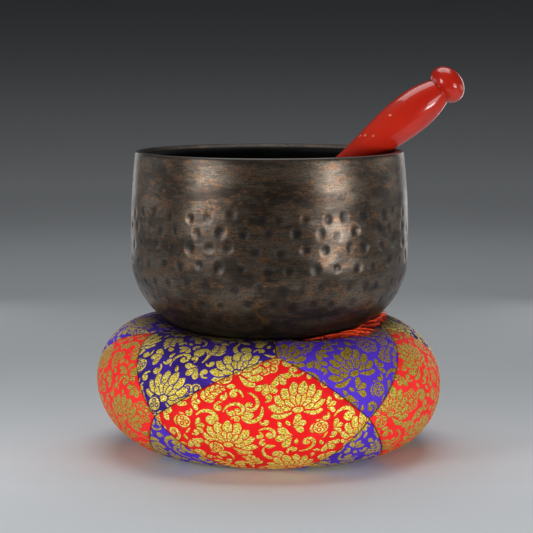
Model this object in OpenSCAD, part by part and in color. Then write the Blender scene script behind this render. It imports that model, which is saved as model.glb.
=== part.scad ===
// Singing bowl of the kind rung with a stick: a hammered bronze bowl on a round
// patchwork cushion, with a turned striker leaning in it.
// Frame: origin at the middle of the cushion's sole, +Z up, front is -Y,
// and the striker leans out towards +X. Turns are counted from the front towards +X.

/* [Bowl] */
// Largest outside diameter of the bowl
bowl_d = 150; // [140:1:156]
// Height of the bowl from its lowest point to the rim
bowl_h = 101; // [95:1:106]
// Thickness of the bowl's wall
wall = 3.5; // [2.5:0.1:4.5]
// Radius of the round corner between wall and base
corner_r = 42; // [38:1:44]
// Height of that corner's centre above the lowest point
corner_h = 45; // [45:1:48]
// Height at which the wall starts to lean inwards
wall_h = 55.5; // [50:0.5:65]
// Radius of the wall's inward curve
wall_r = 390; // [300:10:600]
// Width of the flat land on top of the rim
land_w = 3.8; // [3:0.1:5]
// Thickness of the rolled lip under the land
lip_t = 7.6; // [6:0.1:9]
// Height of the bevel between the land and the lip
bevel_h = 3.3; // [2:0.1:5]

/* [Cushion] */
// Diameter of the cushion at its girth
cushion_d = 187; // [180:1:195]
// Height of the girth above the table
girth_h = 37; // [35:0.5:39]
// Radius of the cushion's upper round
crown_r = 32.5; // [31:0.5:34]
// Thickness of the brocade with its backing
cloth_t = 0.8; // [0.6:0.1:1.2]
// Height of the bowl's lowest point above the table
seat_h = 60.5; // [60:0.5:62]
// Room left for the threads between bowl and cushion
seat_gap = 2; // [1.9:0.1:2.2]
// Radius of the two dimples that the tie pulls in
tuft_r = 15; // [14:0.5:16]

/* [Patchwork] */
// Height of the side patches' left and right corners
corner_z = 29.5; // [26:0.5:34]
// Distance from the axis of the side patches' lowest tips
sole_tip = 46; // [38:1:52]

/* [Tie and tassel] */
// Diameter of the tie cord
tie_d = 3; // [2:0.1:3]
// Diameter of the tassel's knot
knot_d = 9; // [8:0.5:10]
// Height of the covered button under the cushion
button_h = 5; // [3:0.5:5]
// Thickness of the flattened threads
thread_t = 1.2; // [0.8:0.1:1.2]
// How far the threads reach from the axis
thread_reach = 62; // [58:1:64]
// First turn of the threads' fan
fan_from = 25; // [20:1:40]
// Last turn of the threads' fan
fan_to = 85; // [75:1:95]

/* [Striker] */
// Overall length of the striker
striker_l = 200; // [196:1:200]
// Diameter of the swelling grip
grip_d = 22.6; // [21:0.2:23]
// Diameter of the waist below the grip
waist_d = 12.6; // [11:0.2:14]
// Diameter of the neck below the knob
neck_d = 15.2; // [13:0.2:17]
// Diameter of the knob
knob_d = 21.6; // [20:0.2:23]
// Length of the knob along the striker
knob_l = 16.6; // [15:0.2:18]
// Diameter of the leather-covered head
head_d = 24; // [22:0.2:24]
// Length of the leather sleeve
sleeve_l = 72; // [60:1:78]
// Slope of the striker above the horizontal
lean = 37.5; // [37:0.5:39]
// Turn at which the striker crosses the rim
lean_turn = 98; // [90:1:110]

/* [Hidden] */
$fn = 64;
clear = 0.05;

// Outline of the bowl, counted from its lowest point
bowl_r = bowl_d / 2;
corner_x = bowl_r - corner_r;
base_r = (pow(corner_x, 2) + pow(corner_h, 2) - pow(corner_r, 2)) / (2 * (corner_h - corner_r));
base_turn = atan2(corner_h - base_r, corner_x);
lip_z = bowl_h - bevel_h;
lip_from = lip_z - 13;
rim_edge_r = 0.8;

// Outline of the cushion
cushion_r = cushion_d / 2;
crown_x = cushion_r - crown_r;
sole_r = cushion_r - girth_h;
top_tuft_z = seat_h - seat_gap + tuft_r - 10;
base_tuft_z = 6 - tuft_r;
tie_hole_d = tie_d + 0.4;
tie_to = 49.3;
knot_h = 4.5;

// Patchwork: turns of the side patches' corners and upper tips, and each upper tip's
// distance from the axis. It is cut and sewn by hand, so no two patches are alike.
corner_turn = [33.5, 104, 180, 252, 320];
tip_turn = [4, 68, 140, 220, 300.5];
tip_out = [79, 69, 70, 70, 69.5];
reach = 3;

// Striker, counted from its head along its length
felt_t = 2;
leather_t = 1.5;
core_r = head_d / 2 - leather_t - felt_t;
tip_t = 1.5;
sleeve_close = 6;
knob_z = striker_l - knob_l / 2;
neck_z = knob_z - knob_l / 2 * sqrt(1 - pow(neck_d / knob_d, 2));
grip_z = neck_z - 19;
waist_z = 113;
rim_z = 147;
stitches = 13;
stitch_d = 1.2;
slit_w = 0.6;

function turned(turn, out, z) = [out * sin(turn), -out * cos(turn), z];
function arc(centre, r, from, to, steps) =
    [for (i = [0:steps]) let (a = from + (to - from) * i / steps) centre + r * [cos(a), sin(a)]];
function ease(t) = (1 - cos(180 * t)) / 2;
function backwards(list) = [for (i = [len(list) - 1:-1:0]) list[i]];
function wall_out(z) = bowl_r - wall_r + sqrt(pow(wall_r, 2) - pow(z - wall_h, 2));
function crown_z(out) = girth_h + sqrt(pow(crown_r, 2) - pow(out - crown_x, 2));

// The bowl's base and corner at a distance "out" from the outside surface
function bowl_foot(out) = concat(
    arc([0, base_r], base_r + out, -90, base_turn, 6),
    arc([corner_x, corner_h], corner_r + out, base_turn, 0, 14));

function lip_curve() =
    [for (i = [0:8]) let (z = lip_from + (lip_z - lip_from) * i / 8)
        [wall_out(z) - wall - (lip_t - wall) * ease(i / 8), z]];

function bowl_outline() = let (mouth_r = wall_out(bowl_h), inner_turn = asin((lip_from - wall_h) / wall_r))
    concat(
        bowl_foot(0),
        arc([bowl_r - wall_r, wall_h], wall_r, 0, asin((bowl_h - rim_edge_r - wall_h) / wall_r), 6),
        arc([mouth_r - rim_edge_r, bowl_h - rim_edge_r], rim_edge_r, 30, 90, 3),
        [[mouth_r - land_w, bowl_h]],
        backwards(lip_curve()),
        backwards(arc([bowl_r - wall_r, wall_h], wall_r - wall, 0, inner_turn, 4)),
        backwards(bowl_foot(-wall)));

// A solid with the bowl's lower form, grown outwards
module bowl_form(out) {
    translate([0, 0, seat_h])
        rotate_extrude()
            polygon(concat(bowl_foot(out), [[bowl_r + out, corner_h + 1], [0, corner_h + 1]]));
}

module bowl() {
    color("#4a382c")
        translate([0, 0, seat_h])
            rotate_extrude()
                polygon(bowl_outline());
}

// The stuffed cushion's form, shrunk inwards by "inset"
module cushion_form(inset) {
    difference() {
        rotate_extrude()
            polygon(concat(
                [[0, inset]],
                arc([sole_r, girth_h], girth_h - inset, -90, 0, 14),
                arc([crown_x, girth_h], crown_r - inset, 0, 90, 14),
                [[0, girth_h + crown_r - inset]]));
        bowl_form(seat_gap + inset);
        translate([0, 0, top_tuft_z]) sphere(r = tuft_r + inset);
        translate([0, 0, base_tuft_z]) sphere(r = tuft_r + inset);
    }
}

module tie_hole() {
    cylinder(d = tie_hole_d, h = 3 * girth_h);
}

module cloth() {
    difference() {
        cushion_form(0);
        cushion_form(cloth_t);
        tie_hole();
    }
}

// A four-sided wedge from the cushion's middle out through four corner points
module wedge(corners) {
    middle = [0, 0, girth_h];
    polyhedron(
        points = concat([middle], [for (c = corners) middle + reach * (c - middle)]),
        faces = [[0, 1, 2], [0, 2, 3], [0, 3, 4], [0, 4, 1], [1, 3, 2], [1, 4, 3]]);
}

function side_corner(i) = turned(corner_turn[i % 5], cushion_r, corner_z);
function side_tip(i) = turned(tip_turn[i % 5], tip_out[i % 5], crown_z(tip_out[i % 5]));
function sole_turn(i) = (corner_turn[(i + 4) % 5] + corner_turn[i % 5] - (i % 5 == 0 ? 360 : 0)) / 2;
function sole_corner(i) = turned(sole_turn(i), sole_tip, 0);

module side_panel(i) {
    color("#e02c2c")
        intersection() {
            cloth();
            wedge([side_tip(i), side_corner(i + 4), sole_corner(i), side_corner(i)]);
        }
}

module top_panel(i) {
    color("#3b2593")
        intersection() {
            cloth();
            wedge([[0, 0, 2 * girth_h], side_tip(i), side_corner(i), side_tip(i + 1)]);
        }
}

module base_panel(i) {
    color("#3b2593")
        intersection() {
            cloth();
            wedge([[0, 0, 0], sole_corner(i + 1), side_corner(i), sole_corner(i)]);
        }
}

module cushion_filling() {
    color("#f2ede0")
        difference() {
            cushion_form(cloth_t + clear);
            tie_hole();
        }
}

module tie_cord() {
    color("#b01f22")
        translate([0, 0, button_h]) cylinder(d = tie_d, h = tie_to - button_h);
}

// The covered button that holds the tie's lower end. It fills the dimple, flush with the sole.
module base_button() {
    dome_r = tuft_r - 0.3;
    dome_from = asin(-base_tuft_z / dome_r);
    dome_to = asin((button_h - base_tuft_z) / dome_r);
    color("#3b2593")
        rotate_extrude()
            polygon(concat([[0, 0]], arc([0, base_tuft_z], dome_r, dome_from, dome_to, 8), [[0, button_h]]));
}

module tassel_knot() {
    color("#c4272a")
        translate([0, 0, tie_to])
            rotate_extrude()
                polygon(concat(
                    [[0, 0]],
                    arc([(knot_d - knot_h) / 2, knot_h / 2], knot_h / 2, -90, 90, 10),
                    [[0, knot_h]]));
}

module tassel_binding() {
    color("#d8a93a")
        translate([0, 0, tie_to + knot_h + 0.9])
            rotate_extrude()
                translate([2.9, 0]) circle(r = 0.5);
}

module tassel_threads() {
    neck_from = tie_to + knot_h;
    color("#d9281c") {
        translate([0, 0, neck_from]) cylinder(r = 2.3, h = 2.2);
        translate([0, 0, neck_from + 2.2]) cylinder(r1 = 2.3, r2 = 6, h = seat_h - thread_t - neck_from - 2.2);
        intersection() {
            difference() {
                bowl_form(thread_t + 0.4);
                bowl_form(0.4);
            }
            union() {
                cylinder(r = 6, h = seat_h + 2);
                linear_extrude(height = seat_h + bowl_h / 3)
                    intersection() {
                        circle(r = thread_reach);
                        polygon([
                            [0, 0],
                            [for (k = [0:1]) turned(fan_from, 2 * thread_reach, 0)[k]],
                            [for (k = [0:1]) turned((fan_from + fan_to) / 2, 2 * thread_reach, 0)[k]],
                            [for (k = [0:1]) turned(fan_to, 2 * thread_reach, 0)[k]]]);
                    }
            }
        }
    }
}

// Striker radius along the grip: a slim waist that swells to the grip
function swell(z) = z < waist_z
    ? waist_d / 2 + (core_r - waist_d / 2) * ease((waist_z - z) / (waist_z - sleeve_l))
    : waist_d / 2 + (grip_d - waist_d) / 2 * ease((z - waist_z) / (grip_z - waist_z));

function handle_outline() =
    let (grip_r = (pow(neck_z - grip_z, 2) + pow((grip_d - neck_d) / 2, 2)) / (grip_d - neck_d),
        grip_turn = asin((neck_z - grip_z) / grip_r),
        neck_turn = asin((neck_z - knob_z) / (knob_l / 2)))
    concat(
        [[0, tip_t], [core_r, tip_t]],
        [for (i = [0:8]) let (z = sleeve_l + (waist_z - sleeve_l) * i / 8) [swell(z), z]],
        [for (i = [1:12]) let (z = waist_z + (grip_z - waist_z) * i / 12) [swell(z), z]],
        [for (i = [1:8]) let (a = grip_turn * i / 8)
            [grip_d / 2 - grip_r * (1 - cos(a)), grip_z + grip_r * sin(a)]],
        [for (i = [1:16]) let (a = neck_turn + (90 - neck_turn) * i / 16)
            [knob_d / 2 * cos(a), knob_z + knob_l / 2 * sin(a)]]);

// Stands the striker on the rim: local z runs up its axis from the head
module lean_striker() {
    rim_r = wall_out(bowl_h) - land_w;
    axis_gap = swell(rim_z) + 0.3;
    rotate([0, 0, lean_turn - 90])
        translate([rim_r - axis_gap * sin(lean), 0, seat_h + bowl_h + axis_gap * cos(lean)])
            rotate([0, 90 - lean, 0])
                translate([0, 0, -rim_z])
                    children();
}

// One lacing stitch across the sleeve's seam, at a height z
module stitch(z, d) {
    translate([0, 0, z])
        rotate([0, 0, 180])
            rotate([28, 0, 0])
                rotate([0, 0, -18])
                    rotate_extrude(angle = 36)
                        translate([head_d / 2, 0]) circle(d = d);
}

module stitch_row(d) {
    for (i = [0:stitches - 1])
        stitch(5 + i * (sleeve_l - sleeve_close - 9) / (stitches - 1), d);
}

module striker_handle() {
    color("#a81c14")
        lean_striker()
            rotate_extrude()
                polygon(handle_outline());
}

module felt_padding() {
    color("#d8cfbd")
        lean_striker()
            translate([0, 0, tip_t])
                difference() {
                    cylinder(r = core_r + felt_t, h = sleeve_l - sleeve_close - tip_t);
                    translate([0, 0, -1]) cylinder(r = core_r + clear, h = sleeve_l);
                }
}

module leather_sleeve() {
    color("#6b3a22")
        lean_striker()
            difference() {
                rotate_extrude()
                    polygon([
                        [core_r + felt_t + clear, 0],
                        [head_d / 2 - 1, 0],
                        [head_d / 2, 1],
                        [head_d / 2, sleeve_l - sleeve_close - 1],
                        [core_r + leather_t, sleeve_l],
                        [core_r + clear, sleeve_l],
                        [core_r + clear, sleeve_l - sleeve_close + clear],
                        [core_r + felt_t + clear, sleeve_l - sleeve_close + clear]]);
                translate([-head_d, -slit_w / 2, -1]) cube([head_d, slit_w, sleeve_l + 2]);
                stitch_row(stitch_d + 2 * clear);
            }
}

module sleeve_lacing() {
    color("#2e1c12")
        lean_striker() stitch_row(stitch_d);
}

module leather_tip() {
    color("#7a4527")
        lean_striker() cylinder(r = core_r + felt_t, h = tip_t - clear);
}

bowl();
for (i = [0:4]) side_panel(i);
for (i = [0:4]) top_panel(i);
for (i = [0:4]) base_panel(i);
cushion_filling();
tie_cord();
base_button();
tassel_knot();
tassel_binding();
tassel_threads();
striker_handle();
felt_padding();
leather_sleeve();
sleeve_lacing();
leather_tip();
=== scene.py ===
"""Looks of the singing bowl: a hammered bronze bowl on a stuffed brocade cushion, with a
lacquered striker leaning in it.

Shapes are worked out in millimetres, in the part's own frame, and become metres when a
mesh is made. Turns are degrees counted from the front (-Y) towards +X."""
import math

import bpy
import numpy as np
from mathutils import Matrix, Vector


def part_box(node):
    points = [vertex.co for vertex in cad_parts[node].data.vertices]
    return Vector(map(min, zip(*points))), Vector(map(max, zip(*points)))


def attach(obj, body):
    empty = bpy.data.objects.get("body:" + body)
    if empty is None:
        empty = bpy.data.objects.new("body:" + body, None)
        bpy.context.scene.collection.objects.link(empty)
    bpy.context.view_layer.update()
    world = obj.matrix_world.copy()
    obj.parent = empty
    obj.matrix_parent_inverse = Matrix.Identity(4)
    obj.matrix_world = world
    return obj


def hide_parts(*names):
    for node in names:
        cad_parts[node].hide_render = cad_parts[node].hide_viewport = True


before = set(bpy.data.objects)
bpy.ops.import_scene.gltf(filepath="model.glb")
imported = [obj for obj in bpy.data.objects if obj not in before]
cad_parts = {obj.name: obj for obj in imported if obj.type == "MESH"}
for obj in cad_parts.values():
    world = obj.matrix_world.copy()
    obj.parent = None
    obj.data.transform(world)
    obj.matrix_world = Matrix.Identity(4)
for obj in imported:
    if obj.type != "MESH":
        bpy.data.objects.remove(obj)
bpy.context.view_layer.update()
MM = 0.001

# ---------------------------------------------------------------- sizes, in millimetres
# Bowl: wall and corner radii, then the rim's flat land, thick lip and bevel
bowl_low, bowl_high = (np.array(c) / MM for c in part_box("bowl"))
SEAT_H = bowl_low[2]
RIM_H = bowl_high[2] - SEAT_H
BOWL_R = (bowl_high[0] - bowl_low[0]) / 2
WALL = 3.5
CORNER_R, CORNER_H = 42.0, 45.0
CORNER_X = BOWL_R - CORNER_R
BASE_R = (CORNER_X ** 2 + CORNER_H ** 2 - CORNER_R ** 2) / (2 * (CORNER_H - CORNER_R))
WALL_H, WALL_R = 55.5, 390.0
LAND_W, LIP_T, BEVEL_H, LIP_H = 3.8, 7.6, 3.3, 13.0
RIM_EDGE_R = 0.8

# Cushion: girth, crown and tufts, then the corners where its patches meet, as turns round the
# girth, turns and distances of the side patches' upper tips, and distance of their lower ones
GIRTH_H = 37.0
CUSHION_R = 93.5
CROWN_R = 32.5
TUFT_R, TOP_TUFT_Z, BASE_TUFT_Z = 15.0, 63.5, -9.0
CORNER_Z, SOLE_TIP = 29.5, 46.0
CORNER_TURN = (33.5, 104.0, 180.0, 252.0, 320.0)
TIP_TURN = (4.0, 68.0, 140.0, 220.0, 300.5)
TIP_OUT = (79.0, 69.0, 70.0, 70.0, 69.5)
MIDDLE = np.array([0.0, 0.0, GIRTH_H])

# Turns that the tassel's fan lies between, and the room that it takes under the bowl
FAN_FROM, FAN_TO = 22.0, 96.0
THREAD_ROOM = 1.5

# Striker, with Z up its axis from the end of its head. It leans on the rim at RIM_Z
STRIKER_L = 200.0
GRIP_D, WAIST_D, NECK_D = 22.6, 12.6, 15.2
KNOB_D, KNOB_L = 21.6, 16.6
HEAD_D, SLEEVE_L = 24.0, 72.0
FELT_T, LEATHER_T, TIP_T, SLEEVE_CLOSE = 2.0, 1.5, 1.5, 6.0
CORE_R = HEAD_D / 2 - LEATHER_T - FELT_T
KNOB_Z = STRIKER_L - KNOB_L / 2
NECK_Z = KNOB_Z - KNOB_L / 2 * math.sqrt(1 - (NECK_D / KNOB_D) ** 2)
GRIP_Z = NECK_Z - 19
WAIST_Z, RIM_Z = 113.0, 147.0
LEAN, LEAN_TURN = 37.5, 98.0


# ---------------------------------------------------------------- camera
# Sensor and lens in millimetres, place in metres, and degrees up from looking straight down
SENSOR_W, LENS = 36, 124.95
CAMERA_PLACE = (-0.0016, -1.0, 0.2194)
CAMERA_PITCH = 83.1


def make_camera():
    data = bpy.data.cameras.new("camera")
    data.sensor_width = SENSOR_W
    data.lens = LENS
    camera = bpy.data.objects.new("camera", data)
    camera.location = CAMERA_PLACE
    camera.rotation_euler = (math.radians(CAMERA_PITCH), 0, 0)
    bpy.context.scene.collection.objects.link(camera)
    bpy.context.scene.camera = camera


# ---------------------------------------------------------------- meshes
def ease(t):
    t = np.clip(t, 0, 1)
    return t * t * (3 - 2 * t)


def unit(vectors):
    return vectors / np.linalg.norm(vectors, axis=-1, keepdims=True)


def turned(turn, out, z):
    a = math.radians(turn)
    return np.array([out * math.sin(a), -out * math.cos(a), z])


def make_mesh(name, points, face_groups, materials, zones=None, values=None, place=None):
    """An object from points in millimetres and arrays of faces, one array for each face size.
    zones are the faces' material numbers, values are numbers or vectors to keep at each point,
    by name, and place is the object's matrix."""
    mesh = bpy.data.meshes.new(name)
    points = np.asarray(points, float)
    mesh.vertices.add(len(points))
    mesh.vertices.foreach_set("co", (points * MM).astype(np.float32).ravel())
    groups = [np.asarray(g, np.int32) for g in face_groups if len(g)]
    sizes = np.concatenate([np.full(len(g), g.shape[1]) for g in groups])
    mesh.loops.add(int(sizes.sum()))
    mesh.loops.foreach_set("vertex_index", np.concatenate([g.ravel() for g in groups]))
    mesh.polygons.add(len(sizes))
    mesh.polygons.foreach_set("loop_start", np.concatenate([[0], np.cumsum(sizes)[:-1]]).astype(np.int32))
    for material in materials:
        mesh.materials.append(material)
    if zones is not None:
        mesh.polygons.foreach_set("material_index", np.asarray(zones, np.int32))
    mesh.update(calc_edges=True)
    mesh.validate()
    mesh.polygons.foreach_set("use_smooth", np.full(len(mesh.polygons), True))
    for key, value in (values or {}).items():
        value = np.asarray(value, np.float32)
        kind, field = ("FLOAT", "value") if value.ndim == 1 else ("FLOAT_VECTOR", "vector")
        mesh.attributes.new(key, kind, "POINT").data.foreach_set(field, value.ravel())
    piece = bpy.data.objects.new(name, mesh)
    bpy.context.scene.collection.objects.link(piece)
    if place is not None:
        piece.matrix_world = place
    return piece


def grid_faces(rows, cols, closed=False):
    """Faces of a grid of points, row after row. A closed grid joins its last column to its first."""
    last = cols if closed else cols - 1
    r, c = np.meshgrid(np.arange(rows - 1), np.arange(last), indexing="ij")
    after = (c + 1) % cols
    corners = np.stack([r * cols + c, r * cols + after, (r + 1) * cols + after, (r + 1) * cols + c], -1)
    return corners.reshape(-1, 4)


def lathe(outline, around):
    """Points and faces of an outline turned round Z. The outline starts and ends on the axis."""
    outline = np.asarray(outline, float)
    turns = np.arange(around) * 2 * math.pi / around
    rings = outline[1:-1]
    x = rings[:, :1] * np.sin(turns)
    y = -rings[:, :1] * np.cos(turns)
    z = np.repeat(rings[:, 1:], around, 1)
    points = np.concatenate([np.stack([x, y, z], -1).reshape(-1, 3),
                             [[0, 0, outline[0, 1]], [0, 0, outline[-1, 1]]]])
    count = len(rings) * around
    here = np.arange(around)
    after = (here + 1) % around
    first = np.stack([after, here, np.full(around, count)], -1)
    top = (len(rings) - 1) * around
    last = np.stack([top + here, top + after, np.full(around, count + 1)], -1)
    return points, [grid_faces(len(rings), around, True), np.concatenate([first, last])]


def arc(x, z, r, start, end, steps):
    """Points of an arc, its angles counted from +X towards +Z."""
    a = np.radians(np.linspace(start, end, steps + 1))
    return np.stack([x + r * np.cos(a), z + r * np.sin(a)], -1)


def upright(x, low, high, count):
    """Points of a straight upright line at x."""
    return np.stack([np.full(count, x), np.linspace(low, high, count)], -1)


# A direction that no cord or thread runs in
OFF_PATH = (0.31, 0.17, 0.93)


def tube(path, radius, sides):
    """Points and quads of a tube along a path."""
    path = np.asarray(path, float)
    along = unit(np.gradient(path, axis=0))
    side = unit(np.cross(along, OFF_PATH))
    other = np.cross(along, side)
    turns = np.arange(sides) * 2 * math.pi / sides
    points = (path[:, None] + radius
              * (side[:, None] * np.cos(turns)[:, None] + other[:, None] * np.sin(turns)[:, None]))
    return points.reshape(-1, 3), grid_faces(len(path), sides, True)


def tubes(paths, radius, sides):
    """Many tubes as one set of points and faces, each closed at both ends."""
    points, quads, caps, start = [], [], [], 0
    for path in paths:
        p, q = tube(path, radius, sides)
        points.append(p)
        quads.append(q + start)
        caps.append(np.array([np.arange(sides)[::-1], len(p) - sides + np.arange(sides)]) + start)
        start += len(p)
    return np.concatenate(points), [np.concatenate(quads), np.concatenate(caps)]


# ---------------------------------------------------------------- materials
class Finish:
    """A material under construction. Each call adds a node and returns its output."""

    def __init__(self, name):
        self.material = bpy.data.materials.new(name)
        self.material.use_nodes = True
        self.tree = self.material.node_tree
        self.surface = self.tree.nodes["Principled BSDF"]

    def node(self, kind, settings=None, inputs=None, output=0):
        n = self.tree.nodes.new("ShaderNode" + kind)
        for key, value in (settings or {}).items():
            setattr(n, key, value)
        for key, value in (inputs or {}).items():
            self.put(n.inputs[key], value)
        return n.outputs[output]

    def put(self, socket, value):
        if isinstance(value, bpy.types.NodeSocket):
            self.tree.links.new(value, socket)
        elif isinstance(value, tuple) and len(value) == 3 and socket.type == "RGBA":
            socket.default_value = (*value, 1)
        else:
            socket.default_value = value

    def attribute(self, name, output="Fac"):
        return self.node("Attribute", {"attribute_name": name}, output=output)

    def place(self):
        return self.node("TexCoord", output="Object")

    def stretched(self, place, scale):
        return self.node("Mapping", {}, {"Vector": place, "Scale": scale})

    def noise(self, place, scale, detail, rough):
        return self.node("TexNoise", {}, {"Vector": place, "Scale": scale, "Detail": detail,
                                          "Roughness": rough})

    def math(self, how, a, b):
        return self.node("Math", {"operation": how}, {0: a, 1: b})

    def plus(self, a, b):
        return self.math("ADD", a, b)

    def minus(self, a, b):
        return self.math("SUBTRACT", a, b)

    def times(self, a, b):
        return self.math("MULTIPLY", a, b)

    def between(self, value, low, high, to_low=0.0, to_high=1.0):
        return self.node("MapRange", {"interpolation_type": "SMOOTHSTEP"},
                         {0: value, 1: low, 2: high, 3: to_low, 4: to_high})

    def mix(self, share, a, b):
        n = self.tree.nodes.new("ShaderNodeMix")
        n.data_type = "RGBA"
        self.put(n.inputs[0], share)
        self.put(n.inputs[6], a)
        self.put(n.inputs[7], b)
        return n.outputs[2]

    def bump(self, height, strength, distance):
        return self.node("Bump", {}, {"Height": height, "Strength": strength, "Distance": distance})

    def done(self, **inputs):
        for key, value in inputs.items():
            self.put(self.surface.inputs[key.replace("_", " ")], value)
        return self.material


def bronze_patina():
    """Dark patina over bronze: brown mottling, fine turning streaks and darker dimples."""
    f = Finish("bronze_patina")
    place = f.place()
    cloud = f.noise(f.stretched(place, (45, 45, 75)), 1, 5, 0.6)
    blotch = f.noise(f.stretched(place, (150, 150, 280)), 1, 5, 0.7)
    streak = f.noise(f.stretched(place, (130, 130, 2300)), 1, 3, 0.65)
    soot = f.noise(f.stretched(place, (38, 38, 110)), 1, 4, 0.65)
    fleck = f.noise(f.stretched(place, (520, 520, 1900)), 1, 3, 0.75)
    grit = f.noise(f.stretched(place, (900, 900, 1500)), 1, 3, 0.75)
    tone = f.plus(f.times(cloud, 0.65), f.times(streak, 0.35))
    ground = f.mix(f.between(tone, 0.38, 0.62), (0.036, 0.027, 0.02), (0.148, 0.12, 0.093))
    ground = f.mix(f.between(blotch, 0.46, 0.64, 0.0, 0.75), ground, (0.165, 0.09, 0.048))
    worn = f.plus(f.times(blotch, 0.35), f.times(fleck, 0.65))
    copper = f.mix(f.between(worn, 0.54, 0.64, 0.0, 0.65), ground, (0.36, 0.165, 0.066))
    smoked = f.mix(f.between(soot, 0.46, 0.62, 0.0, 0.68), copper, (0.03, 0.023, 0.018))
    black = f.mix(f.between(grit, 0.49, 0.63, 0.0, 0.65), smoked, (0.027, 0.022, 0.019))
    pitted = f.mix(f.times(f.attribute("dimple"), 0.72), black, (0.024, 0.024, 0.025))
    # painted highlight: a light grey line along the rim's outer edge, from "edge"
    edge = f.mix(f.attribute("edge"), pitted, (0.12, 0.11, 0.1))
    rough = f.between(tone, 0.35, 0.65, 0.38, 0.3)
    relief = f.plus(f.times(streak, 0.6), f.times(fleck, 0.8))
    return f.done(Base_Color=edge, Metallic=0.8, Roughness=rough, Specular_IOR_Level=0.55,
                  Normal=f.bump(relief, 0.35, 0.00014))


def bronze_lip():
    """The land and bevel of the rim: brown bronze with copper flecks and turning lines."""
    f = Finish("bronze_lip")
    place = f.place()
    line = f.noise(f.stretched(place, (40, 40, 3200)), 1, 3, 0.6)
    cloud = f.noise(place, 60, 4, 0.6)
    fleck = f.noise(place, 700, 3, 0.7)
    colour = f.mix(f.between(cloud, 0.4, 0.65), (0.018, 0.015, 0.012), (0.045, 0.031, 0.021))
    colour = f.mix(f.between(fleck, 0.54, 0.7, 0.0, 0.6), colour, (0.2, 0.1, 0.05))
    return f.done(Base_Color=colour, Metallic=0.6, Specular_IOR_Level=0.2, Roughness=0.42,
                  Normal=f.bump(line, 0.2, 0.0001))


def black_inside():
    """The inside of the bowl: a matt black skin left by the casting, with faint turning rings."""
    f = Finish("black_inside")
    place = f.place()
    ring = f.noise(f.stretched(place, (30, 30, 900)), 1, 3, 0.6)
    cloud = f.noise(place, 35, 4, 0.6)
    colour = f.mix(f.between(cloud, 0.4, 0.7), (0.004, 0.004, 0.004), (0.012, 0.011, 0.01))
    return f.done(Base_Color=colour, Specular_IOR_Level=0.12, Roughness=f.between(ring, 0.3, 0.7, 0.5, 0.66),
                  Normal=f.bump(ring, 0.25, 0.0002))


def brocade_cloth(name, ground_low, ground_high, deep):
    """Satin ground with raised gold threads. "gold" is the distance to the motif's edge in
    millimetres, below 0 inside it, "cloth" the place on the flat cloth in millimetres, "seam"
    the distance to the patch's edge, "shine" a painted sheen, how bright the satin and the gold
    of a patch are painted for the way the patch faces, and "handled" painted shade on the top
    cloth round the bowl's foot, where the bowl shades it."""
    f = Finish(name)
    cloth = f.attribute("cloth", "Vector")
    far = f.attribute("gold")
    painted_sheen = f.attribute("painted_sheen")
    ragged = f.noise(f.stretched(cloth, (1.6, 3.4, 1)), 1, 1, 0.5)
    edge = f.plus(far, f.times(f.minus(ragged, 0.5), 0.34))
    gold = f.between(edge, 0.06, -0.08)
    cloud = f.noise(cloth, 0.06, 3, 0.5)
    satin = f.noise(f.stretched(cloth, (0.35, 5.0, 1)), 1, 3, 0.6)
    # painted sheen: the satin is painted lighter where "shine" is high
    tone = f.plus(f.times(cloud, 0.6), f.times(painted_sheen, 0.4))
    ground = f.mix(f.between(tone, 0.25, 0.65), ground_low, ground_high)
    ground = f.mix(f.between(satin, 0.35, 0.75, 0.0, 0.3), ground, deep)
    speck = f.noise(f.stretched(cloth, (1.0, 1.7, 1)), 1.15, 2, 0.65)
    glint = f.noise(f.stretched(cloth, (1.0, 1.7, 1)), 0.8, 1, 0.5)
    # lit and shaded copies of the gold, both painted: the sheen "shine" picks between them, and the lit copy
    # gets painted glints
    shaded_gold = f.mix(f.between(speck, 0.42, 0.56), (0.12, 0.073, 0.008), (0.42, 0.29, 0.03))
    lit_gold = f.mix(f.between(speck, 0.42, 0.53), (0.19, 0.115, 0.008), (0.9, 0.66, 0.05))
    lit_gold = f.mix(f.between(glint, 0.5, 0.66), lit_gold, (1.0, 0.92, 0.36))
    metal = f.mix(painted_sheen, lit_gold, shaded_gold)
    outline = f.times(f.between(edge, 0.22, 0.02), f.between(speck, 0.42, 0.55, 0.7, 0.0))
    colour = f.mix(gold, f.mix(outline, ground, (0.09, 0.035, 0.008)), metal)
    # painted shade: the cloth is painted near black within about 0.4 mm of a seam and on the turned-in
    # allowance, in the seam's crease
    colour = f.mix(f.between(f.attribute("seam"), 0.42, 0.06, 0.0, 0.85), colour, (0.03, 0.01, 0.012))
    # painted shade: the top patches are painted near black round the bowl's foot, where the bowl shades them,
    # less where the satin's painted sheen is high
    grip = f.times(f.attribute("painted_bowl_shade"), f.between(painted_sheen, 0.0, 1.0, 0.72, 0.2))
    colour = f.mix(grip, colour, (0.012, 0.007, 0.01))
    threads = f.node("TexWave", {"wave_type": "BANDS", "bands_direction": "DIAGONAL"},
                     {"Vector": f.stretched(cloth, (1.0, 1.5, 1)), "Scale": 1.1, "Distortion": 1.0,
                      "Detail": 1.0}, 1)
    grains = f.times(f.times(speck, gold), 1.5)
    height = f.plus(f.times(threads, 0.35), grains)
    return f.done(Base_Color=colour, Metallic=f.times(gold, 0.35),
                  Roughness=f.between(gold, 0.0, 1.0, 0.6, 0.42), Specular_IOR_Level=0.14,
                  Normal=f.bump(height, 0.5, 0.00018))


def cotton_wool():
    """Loose white fibre in tufts."""
    f = Finish("cotton_wool")
    place = f.place()
    tuft = f.noise(place, 260, 5, 0.7)
    return f.done(Base_Color=f.mix(f.between(tuft, 0.3, 0.7), (0.6, 0.56, 0.48), (0.9, 0.88, 0.82)),
                  Roughness=0.95, Normal=f.bump(tuft, 0.7, 0.0012), Sheen_Weight=0.4)


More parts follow.
